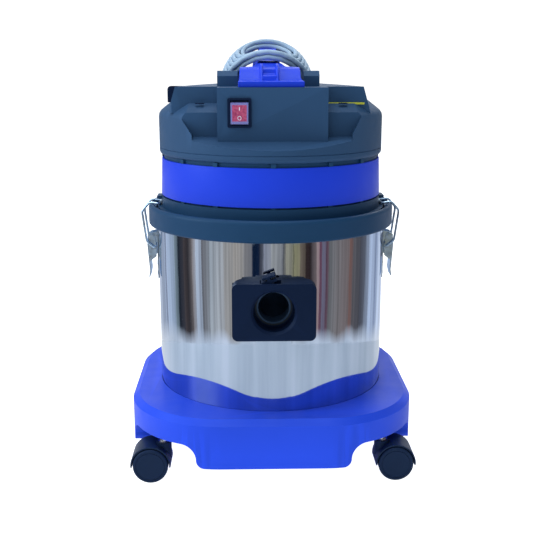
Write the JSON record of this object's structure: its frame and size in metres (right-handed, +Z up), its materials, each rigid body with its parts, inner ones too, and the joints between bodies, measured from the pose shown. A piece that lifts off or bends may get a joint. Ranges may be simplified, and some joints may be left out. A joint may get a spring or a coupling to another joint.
{
  "type": "shop vacuum",
  "caption": "Canister vacuum with a polished steel tank on a castered blue base, a latched motor head with a blue band, a handle with the cord coiled over it, and a front hose inlet.",
  "frame": {"origin": "on the floor, under the tank's axis, in the middle of the base", "axes": "+Z up, the hose inlet and the switch face -Y, +X is to the right seen from the front"},
  "size_m": [0.364, 0.364, 0.5425],
  "materials": {
    "blue_plastic": "moulded, semi-gloss",
    "head_plastic": "fine moulded grain",
    "ring_plastic": "fine moulded grain",
    "black_plastic": "fine moulded grain",
    "caster_plastic": "smooth",
    "rocker_plastic": "translucent, glossy",
    "tank_steel": "mirror polished",
    "zinc_steel": "bright zinc plated",
    "steel": "machined",
    "motor_metal": "pressed sheet",
    "copper_windings": "varnished copper",
    "carbon": "matt",
    "seal_rubber": "matt",
    "cord_rubber": "smooth, soft sheen",
    "plug_plastic": "moulded, matt",
    "inner_plastic": "smooth",
    "foam": "open cell",
    "filter_fabric": "needle felt"
  },
  "bodies": {
    "chassis": {"base": "blue_plastic", "tank": "tank_steel", "rim_ring": "ring_plastic", "tank_screws": "steel", "caster_sockets": "steel", "inlet_housing": "black_plastic", "inlet_seal": "seal_rubber", "inlet_elbow": "inner_plastic", "hose_latch_pin": "steel", "latch_brackets": "zinc_steel", "latch_rivets": "zinc_steel", "latch_pins": "zinc_steel"},
    "head": {"head_ring": "ring_plastic", "head_gasket": "seal_rubber", "blue_band": "blue_plastic", "head_cover": "head_plastic", "head_screws": "steel", "switch_frame": "black_plastic", "handle": "blue_plastic", "accessory_plate": "black_plastic", "cord_gland": "black_plastic", "cord_coil": "cord_rubber", "cord_lead": "cord_rubber", "cord_tail": "cord_rubber", "plug": "plug_plastic", "motor_plate": "motor_metal", "motor_cushion": "seal_rubber", "motor_housing": "motor_metal", "motor_stator": "motor_metal", "motor_brushes": "carbon", "motor_bearings": "steel", "sound_foam": "foam", "float_cage": "inner_plastic", "filter_cloth": "filter_fabric"},
    "rotor": {"motor_shaft": "steel", "motor_armature": "copper_windings", "motor_fans": "motor_metal"},
    "float": {"float_cup": "inner_plastic"},
    "rocker": {"switch_rocker": "rocker_plastic"},
    "hose_catch": {"hose_latch": "black_plastic"},
    "lever_left": {"latch_lever_left": "zinc_steel"},
    "lever_right": {"latch_lever_right": "zinc_steel"},
    "bail_left": {"latch_bail_left": "zinc_steel"},
    "bail_right": {"latch_bail_right": "zinc_steel"},
    "caster_front_left": {"front_left_hood": "caster_plastic", "front_left_stem": "steel"},
    "wheelset_front_left": {"front_left_axle": "steel", "front_left_wheels": "caster_plastic"},
    "caster_front_right": {"front_right_hood": "caster_plastic", "front_right_stem": "steel"},
    "wheelset_front_right": {"front_right_axle": "steel", "front_right_wheels": "caster_plastic"},
    "caster_rear_left": {"rear_left_hood": "caster_plastic", "rear_left_stem": "steel"},
    "wheelset_rear_left": {"rear_left_axle": "steel", "rear_left_wheels": "caster_plastic"},
    "caster_rear_right": {"rear_right_hood": "caster_plastic", "rear_right_stem": "steel"},
    "wheelset_rear_right": {"rear_right_axle": "steel", "rear_right_wheels": "caster_plastic"}
  },
  "joints": [
    {"name": "head_lift", "type": "slide", "parent": "chassis", "child": "head", "axis": [0, 0, 1], "range_m": [0, 0.3]},
    {"name": "rotor_spin", "type": "hinge", "parent": "head", "child": "rotor", "pos_m": [0, 0, 0.38], "axis": [0, 0, 1], "continuous": true},
    {"name": "float_rise", "type": "slide", "parent": "head", "child": "float", "axis": [0, 0, 1], "range_m": [0, 0.033]},
    {"name": "switch_toggle", "type": "hinge", "parent": "head", "child": "rocker", "pos_m": [-0.0395, -0.106, 0.4525], "axis": [-1, 0, 0], "range_deg": [0, 12]},
    {"name": "hose_catch_press", "type": "hinge", "parent": "chassis", "child": "hose_catch", "pos_m": [-0.004, -0.168, 0.2565], "axis": [0, 1, 0], "range_deg": [0, 15], "stiffness_Nm_per_rad": 0.1, "springref_deg": -5.73},
    {"name": "latch_left_open", "type": "hinge", "parent": "chassis", "child": "lever_left", "pos_m": [-0.159, 0, 0.284], "axis": [0, 1, 0], "range_deg": [0, 120]},
    {"name": "bail_left_swing", "type": "hinge", "parent": "lever_left", "child": "bail_left", "pos_m": [-0.1545, 0, 0.27], "axis": [0, 1, 0], "range_deg": [-150, 0]},
    {"name": "latch_right_open", "type": "hinge", "parent": "chassis", "child": "lever_right", "pos_m": [0.159, 0, 0.284], "axis": [0, -1, 0], "range_deg": [0, 120]},
    {"name": "bail_right_swing", "type": "hinge", "parent": "lever_right", "child": "bail_right", "pos_m": [0.1545, 0, 0.27], "axis": [0, -1, 0], "range_deg": [-150, 0]},
    {"name": "front_left_swivel", "type": "hinge", "parent": "chassis", "child": "caster_front_left", "pos_m": [-0.137, -0.137, 0.06], "axis": [0, 0, 1], "continuous": true},
    {"name": "front_left_roll", "type": "hinge", "parent": "caster_front_left", "child": "wheelset_front_left", "pos_m": [-0.153, -0.137, 0.022], "axis": [0, 1, 0], "continuous": true},
    {"name": "front_right_swivel", "type": "hinge", "parent": "chassis", "child": "caster_front_right", "pos_m": [0.137, -0.137, 0.06], "axis": [0, 0, 1], "continuous": true},
    {"name": "front_right_roll", "type": "hinge", "parent": "caster_front_right", "child": "wheelset_front_right", "pos_m": [0.153, -0.137, 0.022], "axis": [0, 1, 0], "continuous": true},
    {"name": "rear_left_swivel", "type": "hinge", "parent": "chassis", "child": "caster_rear_left", "pos_m": [-0.137, 0.137, 0.06], "axis": [0, 0, 1], "continuous": true},
    {"name": "rear_left_roll", "type": "hinge", "parent": "caster_rear_left", "child": "wheelset_rear_left", "pos_m": [-0.153, 0.137, 0.022], "axis": [0, 1, 0], "continuous": true},
    {"name": "rear_right_swivel", "type": "hinge", "parent": "chassis", "child": "caster_rear_right", "pos_m": [0.137, 0.137, 0.06], "axis": [0, 0, 1], "continuous": true},
    {"name": "rear_right_roll", "type": "hinge", "parent": "caster_rear_right", "child": "wheelset_rear_right", "pos_m": [0.153, 0.137, 0.022], "axis": [0, 1, 0], "continuous": true}
  ],
  "couplings": [
    {"joint": "bail_left_swing", "follows": "latch_left_open", "ratio": -1.25},
    {"joint": "bail_right_swing", "follows": "latch_right_open", "ratio": -1.25}
  ]
}
